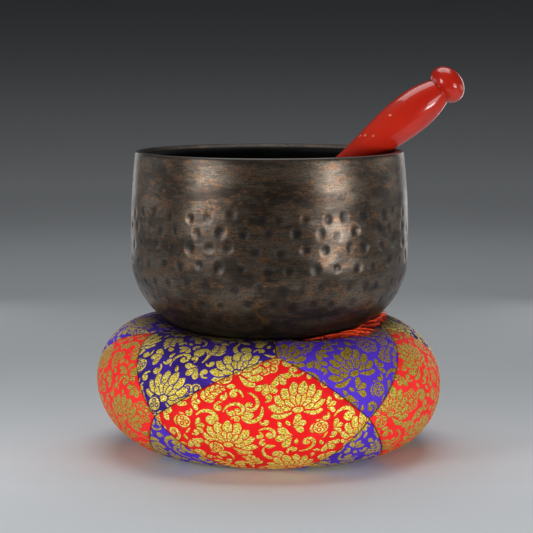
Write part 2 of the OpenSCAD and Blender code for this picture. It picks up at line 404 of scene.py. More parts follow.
def thread(name, low, high, scale, rough=0.42, strands=False):
    """Fine glossy thread. Loose strands get a colour of their own from "tint", partly random and partly
    painted shade on the strands that lie low in the heap.
    """
    f = Finish(name)
    place = f.place()
    strand = f.noise(place, scale, 3, 0.6)
    blend = f.between(strand, 0.35, 0.65)
    if strands:
        tint_and_shade = f.between(f.attribute("tint_and_shade"), 0.05, 0.8)
        blend = f.times(tint_and_shade, f.between(strand, 0.25, 0.6, 0.45, 1.0))
    return f.done(Base_Color=f.mix(blend, low, high), Roughness=rough,
                  Normal=f.bump(strand, 0.35, 0.0001), Specular_IOR_Level=0.3)


def red_lacquer():
    """Glossy lacquer over turned wood, with a few chips and a faint orange-peel surface."""
    f = Finish("red_lacquer")
    place = f.place()
    cloud = f.noise(f.stretched(place, (60, 60, 14)), 1, 3, 0.5)
    peel = f.noise(place, 420, 2, 0.5)
    colour = f.mix(f.between(cloud, 0.3, 0.7), (0.36, 0.011, 0.004), (0.47, 0.021, 0.008))
    # painted shade: a darker band in the groove at the neck
    groove = f.attribute("groove")
    colour = f.mix(f.times(groove, 0.35), colour, (0.12, 0.006, 0.004))
    chip = f.attribute("chip")
    colour = f.mix(chip, colour, (0.72, 0.36, 0.18))
    coat = f.minus(1.0, chip)
    return f.done(Base_Color=colour, Roughness=f.between(chip, 0.0, 1.0, 0.35, 0.8),
                  Specular_IOR_Level=0.15, Coat_Weight=f.times(coat, 0.8),
                  Coat_Roughness=0.06, Normal=f.bump(peel, 0.06, 0.0001))


def leather(name, low, high):
    """Tanned leather, clouded, with fine dark pores."""
    f = Finish(name)
    place = f.place()
    pore = f.node("TexVoronoi", {}, {"Vector": place, "Scale": 900})
    cloud = f.noise(place, 90, 4, 0.6)
    colour = f.mix(f.between(cloud, 0.35, 0.7), low, high)
    colour = f.mix(f.between(pore, 0.0, 0.4, 0.45, 0.0), colour, low)
    return f.done(Base_Color=colour, Roughness=f.between(cloud, 0.3, 0.7, 0.45, 0.62),
                  Normal=f.bump(pore, 0.35, 0.0002))


def felt():
    """Matt pressed wool, its fibres raised."""
    f = Finish("felt")
    place = f.place()
    fibre = f.noise(place, 1300, 4, 0.7)
    cloud = f.noise(place, 140, 3, 0.6)
    return f.done(Base_Color=f.mix(f.between(cloud, 0.3, 0.7), (0.5, 0.44, 0.34), (0.7, 0.64, 0.54)),
                  Roughness=0.95, Normal=f.bump(fibre, 0.6, 0.0005), Sheen_Weight=0.5)


# ---------------------------------------------------------------- bowl
def wall_out(z):
    """The radius of the bowl's upper wall, outside, at a height above the bowl's foot."""
    return BOWL_R - WALL_R + np.sqrt(WALL_R ** 2 - (z - WALL_H) ** 2)


def bowl_foot(grow, base_steps, corner_steps):
    """The bowl's base and round corner, moved outwards by grow, from the axis up."""
    meet = math.degrees(math.atan2(CORNER_H - BASE_R, CORNER_X))
    return np.concatenate([arc(0, BASE_R, BASE_R + grow, -90, meet, base_steps)[:-1],
                           arc(CORNER_X, CORNER_H, CORNER_R + grow, meet, 0, corner_steps)])


def bowl_outline():
    """The bowl's whole outline, and how many of its points are outside."""
    mouth_r = wall_out(RIM_H)
    lip_z = RIM_H - BEVEL_H
    lip_from = lip_z - LIP_H
    top = math.degrees(math.asin((RIM_H - RIM_EDGE_R - WALL_H) / WALL_R))
    inner_top = math.degrees(math.asin((lip_from - WALL_H) / WALL_R))
    straight = upright(BOWL_R, CORNER_H, WALL_H, 13)
    outside = np.concatenate([bowl_foot(0, 8, 56)[:-1], straight[:-1],
                              arc(BOWL_R - WALL_R, WALL_H, WALL_R, 0, top, 38),
                              arc(mouth_r - RIM_EDGE_R, RIM_H - RIM_EDGE_R, RIM_EDGE_R, 20, 90, 4)])
    z = np.linspace(lip_z, lip_from, 13)
    lip_in = wall_out(z) - WALL - (LIP_T - WALL) * ease((z - lip_from) / LIP_H)
    land = np.array([[mouth_r - LAND_W * t, RIM_H] for t in (0.5, 0.9, 1.0)])
    bevel = np.array([[mouth_r - LAND_W, RIM_H]]) * 0.5 + 0.5 * np.array([[lip_in[0], lip_z]])
    lip = np.concatenate([land, bevel, np.stack([lip_in, z], -1)])
    inside = np.concatenate([arc(BOWL_R - WALL_R, WALL_H, WALL_R - WALL, inner_top, 0, 10)[1:],
                             bowl_foot(-WALL, 8, 26)[::-1][1:]])
    outside[0, 0] = inside[-1, 0] = 0
    return np.concatenate([outside, lip, inside]), len(outside)


# Rows of hammer marks: how far below the rim, and how strong
MARK_ROWS = ((30.0, 0.9), (38.0, 1.0), (46.5, 1.0), (56.0, 1.0), (66.0, 1.0), (75.5, 0.8), (84.0, 0.4))
MARKS_PER_ROW = 38
MARK_DEPTH = 0.45


def dimple_field(turns, heights, radii):
    """How deep the hammer marks go at each place of the outside, from 0 to about 1, by row and
    turn. It is less than 0 on the low ridge round a mark."""
    r = np.random.default_rng(5)
    depth = np.zeros((len(heights), len(turns)))
    for k, (below, strength) in enumerate(MARK_ROWS):
        for i in range(MARKS_PER_ROW):
            turn = (i + 0.5 * (k % 2)) * 360 / MARKS_PER_ROW + r.normal(0, 1.1) + 4
            height = RIM_H - below + r.normal(0, 0.9)
            size = r.uniform(2.6, 3.5)
            strong = strength * r.uniform(0.65, 1.1)
            away = (turns - turn + 180) % 360 - 180
            near = np.abs(heights - height) < 2 * size
            across = np.radians(away)[None] * radii[near][:, None]
            slope = np.clip((CORNER_H - heights[near]) / CORNER_R, 0, 0.99)
            up = ((heights[near] - height) / np.sqrt(1 - slope ** 2))[:, None]
            q = np.hypot(across, up * r.uniform(0.85, 1.1)) / size
            mark = np.maximum(1 - q ** 2, 0) ** 1.5 - 0.12 * np.exp(-((q - 1.18) / 0.22) ** 2)
            depth[near] += strong * mark
    return np.clip(depth, -0.15, 1.15)


def make_bowl():
    """One turned surface with the hammer marks pressed in, and a little out of round."""
    outline, outside = bowl_outline()
    around = 600
    points, faces = lathe(outline, around)
    rings = len(outline) - 2
    grid = points[:rings * around].reshape(rings, around, 3)
    rows = outside - 1
    turns = np.arange(around) * 360 / around
    ring = outline[1:outside]
    dents = dimple_field(turns, ring[:, 1], ring[:, 0])
    along = unit(np.gradient(ring, axis=0))
    away = np.radians(turns)
    normal = np.stack([along[:, 1:] * np.sin(away), -along[:, 1:] * np.cos(away),
                       np.repeat(-along[:, :1], around, 1)], -1)
    grid[:rows] -= normal * (MARK_DEPTH * dents)[..., None]
    wave = (0.10 * np.sin(3 * away + 0.7) + 0.07 * np.sin(7 * away + 2.1))[None]
    wave = wave * np.sin(ring[:, 1:] / 17.0)
    grid[:rows] += normal * wave[..., None] * ease((RIM_H - 4 - ring[:, 1:]) / 20)[..., None]
    points[:rings * around] = grid.reshape(-1, 3)
    points[:, 2] += SEAT_H
    dimple = np.zeros(len(points))
    dimple[:rows * around] = ease(1.5 * dents).ravel()
    # marks the rim's outer edge for a painted highlight, a light grey line in the patina
    edge = (points[:, 2] - SEAT_H > RIM_H - 0.75).astype(float)
    zone_of_ring = np.zeros(rings, int)
    zone_of_ring[outside - 1:] = 1
    zone_of_ring[outside + 2:] = 2
    zones = np.concatenate([np.repeat(zone_of_ring[:-1], around),
                            np.zeros(around, int), np.full(around, 2)])
    bowl = make_mesh("hammered_bowl", points, faces, [bronze_patina(), bronze_lip(), black_inside()],
                     zones, {"dimple": dimple, "edge": edge})
    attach(bowl, "bowl")
    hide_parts("bowl")


# ---------------------------------------------------------------- brocade pattern
# Size of the woven repeat, and of the cells that it is worked out in
TILE_W, TILE_H, TILE_STEP = 66.0, 88.0, 0.12


def window(x, y, reach):
    """The tile's cells within reach of a point, and their places seen from it. The tile repeats."""
    cols = np.arange(math.floor((x - reach) / TILE_STEP), math.ceil((x + reach) / TILE_STEP) + 1)
    rows = np.arange(math.floor((y - reach) / TILE_STEP), math.ceil((y + reach) / TILE_STEP) + 1)
    across, up = np.meshgrid(cols * TILE_STEP - x, rows * TILE_STEP - y)
    return np.ix_(rows % round(TILE_H / TILE_STEP), cols % round(TILE_W / TILE_STEP)), across, up


def lay(tile, x, y, reach, shape, margin=0.62):
    """Lays a gold shape over what is there, with a narrow bare margin round it."""
    cells, across, up = window(x, y, reach)
    far = shape(across, up)
    tile[cells] = np.minimum(np.maximum(tile[cells], margin - far), far)


def petal(length, width, turn, bend=0.0, tip=0.72):
    """A petal that grows from the middle: slim at its foot, widest at tip, and bent sideways."""
    def shape(across, up):
        a = math.radians(turn)
        along = across * math.sin(a) + up * math.cos(a)
        side = across * math.cos(a) - up * math.sin(a)
        part = np.clip(along / length, 0, 1)
        side = side - bend * part ** 2
        power = math.log(0.5) / math.log(tip)
        half = width / 2 * np.sin(math.pi * part ** power) ** 0.8
        return np.maximum.reduce([(np.abs(side) - half) * 0.85, -along, along - length])
    return shape


def outlined(shape, line, gap):
    """A shape's outline in thread, with a solid heart inside a bare gap."""
    def both(across, up):
        far = shape(across, up)
        rim = np.abs(far + line) - line
        heart = far + 2 * line + gap
        return np.minimum(rim, heart)
    return both


def disc(r):
    return lambda across, up: np.hypot(across, up) - r


def oval(rx, ry, turn):
    def shape(across, up):
        a = math.radians(turn)
        u = (across * math.cos(a) + up * math.sin(a)) / rx
        v = (up * math.cos(a) - across * math.sin(a)) / ry
        return (np.hypot(u, v) - 1) * min(rx, ry)
    return shape


def stroke(points, widths):
    """A thick line through points, with a width at each."""
    def shape(across, up):
        far = np.full(across.shape, 9.0)
        for (px, py), w in zip(points, widths):
            far = np.minimum(far, np.hypot(across - px, up - py) - w / 2)
        return far
    return shape


def hook(size, turn, sweep, flip=1, thick=1.5, curl=0.8):
    """A scroll: it starts slim at the middle, swings out and curls in to a thick round end."""
    steps = 46
    points, widths = [], []
    heading, x, y = math.radians(turn), 0.0, 0.0
    for i in range(steps + 1):
        t = i / steps
        points.append((x, y))
        widths.append(0.75 + (thick - 0.75) * math.sin(math.pi * min(1, t * 1.15)) ** 0.7 if t < 0.8
                      else 0.75 + (thick - 0.75) * (0.6 + 1.1 * (t - 0.8) / 0.2 * 0.9))
        step = size / steps * (1.5 - 1.1 * t)
        heading += flip * math.radians(sweep) / steps * (1 + 2.2 * curl * t ** 1.5)
        x += step * math.sin(heading)
        y += step * math.cos(heading)
    return stroke(points, widths)


# Petals of a lotus: turn, length, width and, for the long ones, how far they bend sideways
LONG_PETALS = ((-118, 12.5, 4.2, 3.0), (112, 12, 4.0, -3.0), (-92, 14, 4.4, 2.6), (86, 13.5, 4.4, -2.6),
               (-64, 14, 4.8, 1.8), (60, 14.5, 4.8, -1.8), (-38, 14.5, 4.9, 0.8), (34, 15, 4.9, -0.8),
               (-12, 15.5, 5.0, 0.3), (11, 15.5, 4.6, -0.4))
SHORT_PETALS = ((-78, 8.0, 3.4), (74, 8.0, 3.4), (-48, 8.6, 3.0), (46, 8.6, 3.0), (-24, 9, 2.4),
                (22, 9, 2.4), (0, 8.6, 2.4))


def blossom(tile, x, y, flip, turn):
    """An open lotus seen from the side: long petals behind, short ones in front, an oval heart."""
    for side, length, width, bend in LONG_PETALS:
        lay(tile, x, y, 19, petal(length, width, turn + flip * side, flip * bend))
    for side, length, width in SHORT_PETALS:
        lay(tile, x, y, 12, petal(length, width, turn + flip * side), margin=0.45)
    lay(tile, x, y, 5, oval(2.6, 1.7, turn))


def seeds(tile, x, y, turn):
    """A round pod with three seed rings in it."""
    lay(tile, x, y, 7, disc(3.6))
    for k in range(3):
        a = math.radians(turn + 120 * k)
        cx, cy = x + 1.75 * math.sin(a), y + 1.75 * math.cos(a)
        cells, across, up = window(cx, cy, 2.2)
        ring = 0.28 - np.abs(np.hypot(across, up) - 0.95)
        tile[cells] = np.maximum(tile[cells], ring)


def spray(tile, x, y, turn, flip, leaves):
    """A stem with leaves that get smaller towards its end."""
    heading = math.radians(turn)
    lay(tile, x, y, 18, hook(15, turn, flip * 55, 1, 1.0, 0.5))
    for k in range(leaves):
        grow = 1 - 0.12 * k
        for side in (-1, 1):
            leaf = petal(5.6 * grow, 2.9 * grow, math.degrees(heading) + side * 52, side * -0.8, 0.6)
            lay(tile, x, y, 9, leaf, margin=0.4)
        x += 2.7 * math.sin(heading)
        y += 2.7 * math.cos(heading)
        heading += flip * math.radians(12)
    lay(tile, x, y, 9, petal(5, 2.6, math.degrees(heading), 0, 0.6), margin=0.4)


def rosette(tile, x, y, turn):
    """A small flower seen from the front, its petals drawn as outlines."""
    for k in range(6):
        a = turn + 60 * k
        lay(tile, x, y, 9, outlined(petal(7, 5.4, a, 0, 0.66), 0.45, 0.6), margin=0.3)
    lay(tile, x, y, 3.4, disc(1.7))


def fill_gaps(tile):
    """Fills the bare ground with ever smaller scrolls and leaves, wherever one fits."""
    r = np.random.default_rng(3)
    for size, tries in ((6.0, 500), (4.8, 900), (3.8, 1600), (3.0, 2600), (2.2, 3600)):
        for _ in range(tries):
            x, y = r.random() * TILE_W, r.random() * TILE_H
            turn, kind = r.uniform(0, 360), r.random()
            cells, across, up = window(x, y, size)
            if (tile[cells][np.hypot(across, up) < size * 0.92] < 0.25).any():
                continue
            a = math.radians(turn)
            foot = (x - 0.7 * size * math.sin(a), y - 0.7 * size * math.cos(a))
            flip = 1 if kind > 0.5 else -1
            if kind < 0.34 or kind > 0.66:
                scroll = hook(3.4 * size, turn - flip * 50, 240, flip, 1.2 + 0.1 * size)
                lay(tile, *foot, 3 * size, scroll, 0.5)
            elif size > 3:
                for side in (-40, 0, 40):
                    lay(tile, *foot, 3 * size, petal(1.5 * size, 0.72 * size, turn + side, side * 0.02), 0.45)
            else:
                lay(tile, *foot, 3 * size, petal(1.8 * size, 0.9 * size, turn, flip * 0.5, 0.6), 0.45)


def pod(tile, x, y, turn, flip):
    """A seed pod with a long leaf curled round it."""
    lay(tile, x, y, 12, hook(17, turn, 250, flip, 2.6, 0.6))
    a = math.radians(turn + flip * 60)
    seeds(tile, x + 5.0 * math.sin(a), y + 5.0 * math.cos(a), turn)


# Large scrolls: place on the repeat, turn, how far they swing, which way, length
SCROLLS = ((33, 6, 30, 250, 1, 22), (64, 14, 160, 240, 1, 22), (2, 34, -20, 260, 1, 24),
           (30, 40, 190, 250, 1, 22), (60, 56, 20, 250, -1, 22), (34, 60, -70, 250, 1, 22),
           (0, 78, 200, 240, -1, 24), (28, 82, 40, 270, -1, 22))
# Lotus flowers, each with a pod: place, turn, which way they face
LOTUSES = ((15, 12, 0, 1), (49, 32, 20, -1), (14, 57, -25, 1), (49, 78, 8, -1))


def brocade():
    """One repeat of the pattern, as the distance to the motif's edge in millimetres."""
    tile = np.full((round(TILE_H / TILE_STEP), round(TILE_W / TILE_STEP)), 1.5)
    for x, y, turn, sweep, flip, size in SCROLLS:
        lay(tile, x, y, size, hook(size, turn, sweep, flip, 2.4))
    spray(tile, 36, 14, 20, 1, 5)
    spray(tile, 30, 70, 170, -1, 4)
    spray(tile, 62, 62, -10, -1, 4)
    rosette(tile, 64, 38, 10)
    rosette(tile, 31, 28, 30)
    for x, y, turn, flip in LOTUSES:
        blossom(tile, x, y, flip, turn)
        pod(tile, x + flip * 9, y - 7, turn + 90, flip)
    fill_gaps(tile)
    return tile


def sample(tile, flat):
    """The pattern's distance at places on the flat cloth, in millimetres."""
    rows, cols = tile.shape
    x, y = flat[..., 0] / TILE_STEP, flat[..., 1] / TILE_STEP
    i, j = np.floor(y).astype(int), np.floor(x).astype(int)
    v, u = y - i, x - j
    a, b = tile[i % rows, j % cols], tile[i % rows, (j + 1) % cols]
    c, d = tile[(i + 1) % rows, j % cols], tile[(i + 1) % rows, (j + 1) % cols]
    return (a * (1 - u) + b * u) * (1 - v) + (c * (1 - u) + d * u) * v


# ---------------------------------------------------------------- cushion
def smooth_max(a, b, blend):
    """The greater of two distances, with the crease between them rounded."""
    near = np.clip(1 - np.abs(a - b) / blend, 0, 1)
    return np.maximum(a, b) + blend * near ** 2 / 4


def outside_bowl(out, z, gap):
    """Distance from the outside of the bowl grown by gap."""
    up = z - SEAT_H
    on_base = np.arctan2(out, BASE_R - up) < math.atan2(CORNER_X, BASE_R - CORNER_H)
    base = np.hypot(out, up - BASE_R) - BASE_R
    corner = np.hypot(out - CORNER_X, up - CORNER_H) - CORNER_R
    return np.where(on_base, base, corner) - gap


def cushion_reach(gap):
    """How far the cushion's skin is from its middle, as a table over the angle from straight up."""
    angle = np.linspace(0, math.pi, 1441)
    step = 0.05
    far = np.arange(4.0, 110.0, step)
    out = np.sin(angle)[:, None] * far
    z = GIRTH_H + np.cos(angle)[:, None] * far
    low = np.hypot(np.maximum(out - (CUSHION_R - GIRTH_H), 0), GIRTH_H - z) - GIRTH_H
    high = np.hypot(np.maximum(out - (CUSHION_R - CROWN_R), 0), z - GIRTH_H) - CROWN_R
    skin = np.where(z < GIRTH_H, low, high)
    skin = smooth_max(skin, -outside_bowl(out, z, gap), 5.0)
    skin = smooth_max(skin, TUFT_R - np.hypot(out, z - TOP_TUFT_Z), 4.0)
    skin = smooth_max(skin, TUFT_R - np.hypot(out, z - BASE_TUFT_Z), 0.6)
    first = np.argmax(skin > 0, 1)
    row = np.arange(len(angle))
    before, after = skin[row, first - 1], skin[row, first]
    return angle, far[first] - step * after / (after - before)


# Room between the bowl's foot and what it rests on
SEAT_GAP = 0.35
REACH_ANGLE, REACH_BARE = cushion_reach(SEAT_GAP)
REACH_THREADS = cushion_reach(SEAT_GAP + THREAD_ROOM)[1]


def on_cushion(rays):
    """The points where rays from the cushion's middle meet its skin."""
    rays = unit(rays)
    angle = np.arccos(np.clip(rays[..., 2], -1, 1))
    turn = np.degrees(np.arctan2(rays[..., 0], -rays[..., 1]))
    fan = ease((turn - FAN_FROM + 9) / 8) * ease((FAN_TO + 9 - turn) / 8)
    bare = np.interp(angle, REACH_ANGLE, REACH_BARE)
    threads = np.interp(angle, REACH_ANGLE, REACH_THREADS)
    points = MIDDLE + rays * (bare + (threads - bare) * fan)[..., None]
    out = np.hypot(points[..., 0], points[..., 1])
    front = ease((np.cos(np.radians(turn)) - 0.1) / 0.8)
    crest = ease((out - 47) / 9) * ease((96 - out) / 26) * (points[..., 2] > GIRTH_H)
    sag = crest * (2.4 * front - 0.8 * (1 - front))
    lean = 0.06 * (30 - points[..., 2]) * ease((out - 55) / 20)
    return points + np.stack([lean, np.zeros_like(lean), -sag], -1)


def crown_z(out):
    return GIRTH_H + math.sqrt(CROWN_R ** 2 - (out - CUSHION_R + CROWN_R) ** 2)


def side_corner(i):
    return turned(CORNER_TURN[i % 5], CUSHION_R, CORNER_Z)


def side_tip(i):
    return turned(TIP_TURN[i % 5], TIP_OUT[i % 5], crown_z(TIP_OUT[i % 5]))


def sole_corner(i):
    turn = (CORNER_TURN[(i + 4) % 5] + CORNER_TURN[i % 5] - (360 if i % 5 == 0 else 0)) / 2
    return turned(turn, SOLE_TIP, 0)


def panel_corners():
    """The four corners of each of the 15 panels, by node name, from the panel's upper tip."""
    top, bottom = np.array([0, 0, 2 * GIRTH_H]), np.zeros(3)
    corners = {}
    for i in range(5):
        corners[f"side_panel_{i + 1}"] = (side_tip(i), side_corner(i + 4), sole_corner(i), side_corner(i))
        corners[f"top_panel_{i + 1}"] = (top, side_tip(i), side_corner(i), side_tip(i + 1))
        corners[f"base_panel_{i + 1}"] = (bottom, sole_corner(i + 1), side_corner(i), sole_corner(i))
    return corners


def panel_rays(corners, n):
    """Rays from the middle through an n by n net of a panel. Panels share the rays of a seam."""
    a, b, c, d = (corner - MIDDLE for corner in corners)
    s, t = np.meshgrid(np.linspace(0, 1, n + 1), np.linspace(0, 1, n + 1), indexing="ij")
    s, t = s[..., None], t[..., None]
    return (1 - s) * (1 - t) * a + s * (1 - t) * b + s * t * c + (1 - s) * t * d


def refine(net, n):
    """A finer net through the points of a coarse one, by a smooth curve along each side."""
    coarse = net.shape[0] - 1
    at = np.linspace(0, coarse, n + 1)
    cell = np.minimum(at.astype(int), coarse - 1)
    t = at - cell
    weights = np.zeros((n + 1, coarse + 3))
    parts = (-0.5 * t + t ** 2 - 0.5 * t ** 3, 1 - 2.5 * t ** 2 + 1.5 * t ** 3,
             0.5 * t + 2 * t ** 2 - 1.5 * t ** 3, -0.5 * t ** 2 + 0.5 * t ** 3)
    for k, part in enumerate(parts):
        weights[np.arange(n + 1), cell + k] = part
    weights[:, 1] += 2 * weights[:, 0]
    weights[:, 2] -= weights[:, 0]
    weights[:, -2] += 2 * weights[:, -1]
    weights[:, -3] -= weights[:, -1]
    weights = weights[:, 1:-1]
    return np.einsum("ai,ijk,bj->abk", weights, net, weights)


def weld(loose, n, digits):
    """Joins the equal points of n by n nets. Returns which points are kept, which of the kept
    points each one becomes, and the nets' faces."""
    _, kept, welded = np.unique(np.round(loose, digits), axis=0, return_index=True, return_inverse=True)
    welded = welded.ravel()
    starts = range(0, len(loose), (n + 1) ** 2)
    return kept, welded, np.concatenate([welded[grid_faces(n + 1, n + 1) + start] for start in starts])


# The cover's cloth simulation: how long it runs, how firmly the seams hold, and the most that it
# may move the cover
CLOTH_STEPS = 20
SEAM_HOLD = 0.93
SWELL_CAP = 4.0


def stuff_cushion(nets, n):
    """Swells the welded cover under the stuffing's pressure, the seams and the places that rest
    on something held, and returns each panel's net of moved points."""
    loose = np.concatenate([net.reshape(-1, 3) for net in nets.values()])
    kept, welded, faces = weld(loose, n, 3)
    points = loose[kept]
    whole = [f for f in faces.tolist() if len(set(f)) > 2]
    mesh = bpy.data.meshes.new("stuffing_trial")
    mesh.from_pydata((points * MM).tolist(), [], [list(dict.fromkeys(f)) for f in whole])
    mesh.update()
    trial = bpy.data.objects.new("stuffing_trial", mesh)
    bpy.context.scene.collection.objects.link(trial)
    seam = np.zeros(len(points))
    for net in welded.reshape(-1, n + 1, n + 1):
        seam[np.concatenate([net[0], net[-1], net[:, 0], net[:, -1]])] = 1
    out = np.hypot(points[:, 0], points[:, 1])
    under_bowl = ease((58 - out) / 5) * (points[:, 2] > GIRTH_H)
    on_sole = ease((58 - out) / 6) * (points[:, 2] < 3)
    pins = np.clip(np.maximum(np.maximum(under_bowl, on_sole), SEAM_HOLD * seam), 0, 1)
    group = trial.vertex_groups.new(name="held")
    for i, w in enumerate(pins):
        if w > 0:
            group.add([i], float(w), "REPLACE")
    cloth = trial.modifiers.new("cloth", "CLOTH")
    s = cloth.settings
    s.quality = 6
    s.mass = 0.25
    s.tension_stiffness = s.compression_stiffness = 18
    s.shear_stiffness = 8
    s.bending_stiffness = 0.6
    s.use_pressure = True
    s.uniform_pressure_force = 4
    s.vertex_group_mass = "held"
    s.effector_weights.gravity = 0
    cloth.collision_settings.use_collision = False
    scene = bpy.context.scene
    for step in range(CLOTH_STEPS):
        scene.frame_set(step + 1)
    seen = trial.evaluated_get(bpy.context.evaluated_depsgraph_get()).to_mesh()
    moved = np.zeros(len(seen.vertices) * 3, np.float32)
    seen.vertices.foreach_get("co", moved)
    moved = moved.reshape(-1, 3) / MM
    scene.frame_set(1)
    bpy.data.objects.remove(trial)
    shift = moved - points
    far = np.linalg.norm(shift, axis=1, keepdims=True)
    print("cloth moved the cover by up to %.2f mm, %.2f mm on average" % (far.max(), far.mean()))
    shift *= np.minimum(1, SWELL_CAP / np.maximum(far, 1e-9))
    result = (points + shift)[welded].reshape(-1, n + 1, n + 1, 3)
    return dict(zip(nets, result))


FLATTEN_ROUNDS = 260


def flatten(net):
    """Lays a panel's net flat, keeping its lengths, as the cloth was cut. The first axis of the
    result runs across the panel and the second up it."""
    n = net.shape[0] - 1
    s, t = np.meshgrid(np.linspace(0, 1, n + 1), np.linspace(0, 1, n + 1), indexing="ij")
    tall = np.linalg.norm(np.diff(net[np.arange(n + 1), np.arange(n + 1)], axis=0), axis=1).sum()
    wide = np.linalg.norm(np.diff(net[np.arange(n + 1), n - np.arange(n + 1)], axis=0), axis=1).sum()
    flat = np.stack([(t - s) * wide / 2, (1 - s - t) * tall / 2], -1)
    steps = ((1, 0), (0, 1), (1, 1), (1, -1))
    for _ in range(FLATTEN_ROUNDS):
        push = np.zeros_like(flat)
        count = np.zeros(flat.shape[:2] + (1,))
        for i, j in steps:
            a = (slice(0, n + 1 - i), slice(max(0, -j), n + 1 - max(0, j)))
            b = (slice(i, n + 1), slice(max(0, j), n + 1 + min(0, j)))
            want = np.linalg.norm(net[b] - net[a], axis=-1, keepdims=True)
            have = flat[b] - flat[a]
            size = np.linalg.norm(have, axis=-1, keepdims=True)
            fix = have * (1 - want / np.maximum(size, 1e-6)) / 2
            push[a] += fix
            push[b] -= fix
            count[a] += 1
            count[b] += 1
        flat = flat + 1.2 * push / count
    return flat - flat.mean((0, 1))


def edge_distances(points):
    """How far each point of a net is from its four sides, in millimetres."""
    down = np.linalg.norm(np.diff(points, axis=0), axis=-1)
    over = np.linalg.norm(np.diff(points, axis=1), axis=-1)
    u, v = np.gradient(points, axis=0), np.gradient(points, axis=1)
    lean = np.linalg.norm(np.cross(u, v), axis=-1)
    lean /= np.maximum(np.linalg.norm(u, axis=-1) * np.linalg.norm(v, axis=-1), 1e-9)
    zero_row, zero_col = np.zeros((1, points.shape[1])), np.zeros((points.shape[0], 1))
    from_0 = np.concatenate([zero_row, np.cumsum(down, 0)])
    from_1 = np.concatenate([np.cumsum(down[::-1], 0)[::-1], zero_row])
    from_2 = np.concatenate([zero_col, np.cumsum(over, 1)], 1)
    from_3 = np.concatenate([np.cumsum(over[:, ::-1], 1)[:, ::-1], zero_col], 1)
    return [far * np.clip(lean, 0.3, 1) for far in (from_0, from_1, from_2, from_3)]


def ripple(points):
    """A smooth, irregular wave over space, between about -1 and 1."""
    x, y, z = (points[..., k] for k in range(3))
    return (np.sin(0.61 * x + 0.23 * y + 0.5 * z + 1.0) + np.sin(0.19 * x - 0.67 * y + 0.31 * z)
            + np.sin(0.37 * x + 0.41 * y - 0.73 * z + 2.0)) / 3


# How deep the seam allowance's rows of points are, and how far they draw in towards the patch
HEM_DEPTHS = (0.5, 1.6, 3.2)
HEM_PULL = 0.12
# Height of the raised gold threads over the satin
GOLD_LIFT = 0.16


def turn_in(skin, border, inward):
    """The points of the seam allowance: the border's own, sunk in row by row."""
    edge = skin[border]
    toward = unit(skin.mean(0) - edge)
    return np.concatenate([edge + inward[border] * depth + toward * HEM_PULL for depth in HEM_DEPTHS])


def flat_points(flat):
    """Places on flat cloth as vectors."""
    return np.concatenate([flat, np.zeros((len(flat), 1))], 1)


def make_panel(name, corners, coarse, tile, offset, dense, material, painted_sheen):
    """One patch of the cover: its stuffed shape, the valley and puckers along its seams, the
    raised gold threads, and the seam allowance turned in."""
    base = on_cushion(panel_rays(corners, dense))
    start = on_cushion(panel_rays(corners, coarse.shape[0] - 1))
    points = base + refine(coarse - start, dense)
    sides = edge_distances(points)
    inward = unit(MIDDLE - points)
    depth = np.ones(points.shape[:2])
    crease = np.ones(points.shape[:2])
    for far in sides:
        depth *= 1 - np.exp(-(far / 2.1) ** 2)
        crease *= 1 - np.exp(-far / 0.35)
    wave = ripple(points)
    valley = (1 - depth) * (0.75 + 0.18 * wave) + 0.5 * (1 - crease)
    nearest = np.min(sides, 0)
    pucker = 0.16 * ripple(points * 1.9) * np.exp(-((nearest - 4.5) / 3.0) ** 2)
    flat = refine(flatten(coarse), dense)
    cloth = flat + np.array(offset)
    gold = sample(tile, cloth)
    raised = GOLD_LIFT * ease((0.12 - gold) / 0.3) * ease(nearest / 0.8)
    points = points + inward * (valley - pucker * ease(nearest / 1.0) - raised)[..., None]
    rows = dense + 1
    index = np.arange(rows * rows).reshape(rows, rows)
    border = np.concatenate([index[0, :-1], index[:-1, -1], index[-1, :0:-1], index[:0:-1, 0]])
    skin = points.reshape(-1, 3)
    hem = turn_in(skin, border, inward.reshape(-1, 3))
    strip = np.concatenate([border, len(skin) + np.arange(len(hem))])
    hem_faces = strip[grid_faces(len(HEM_DEPTHS) + 1, len(border), True)]
    copied = np.concatenate([np.arange(len(skin)), np.tile(border, len(HEM_DEPTHS))])
    all_points = np.concatenate([skin, hem])
    all_faces = np.concatenate([grid_faces(rows, rows)[:, ::-1], hem_faces])
    out = np.hypot(all_points[:, 0], all_points[:, 1])
    values = {"gold": gold.ravel()[copied],
              "painted_sheen": np.full(len(all_points), painted_sheen),
              "seam": np.concatenate([nearest.ravel(), np.zeros(len(hem))]),
              "cloth": flat_points(cloth.reshape(-1, 2)[copied]),
              # painted shade on the top patches round the bowl's foot
              "painted_bowl_shade": ease((84 - out) / 26) * ease((all_points[:, 2] - 46) / 8)}
    piece = make_mesh(name + "_cloth", all_points, [all_faces], [material], None, values)
    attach(piece, "cushion")
    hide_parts(name)
    return skin


def make_stuffing(nets, n):
    """The cotton inside the cover, a little smaller than it and lumpy."""
    loose = np.concatenate([net.reshape(-1, 3) for net in nets.values()])
    rays = loose - MIDDLE
    far = np.linalg.norm(rays, axis=1, keepdims=True)
    loose = MIDDLE + rays * (1 - (2.6 + 0.5 * ripple(loose * 0.6)[:, None]) / far)
    kept, welded, faces = weld(loose, n, 2)
    quads = faces[[len(set(f)) == 4 for f in faces.tolist()]][:, ::-1]
    piece = make_mesh("stuffing", loose[kept], [quads], [cotton_wool()])
    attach(piece, "cushion")
    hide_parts("cushion_filling")


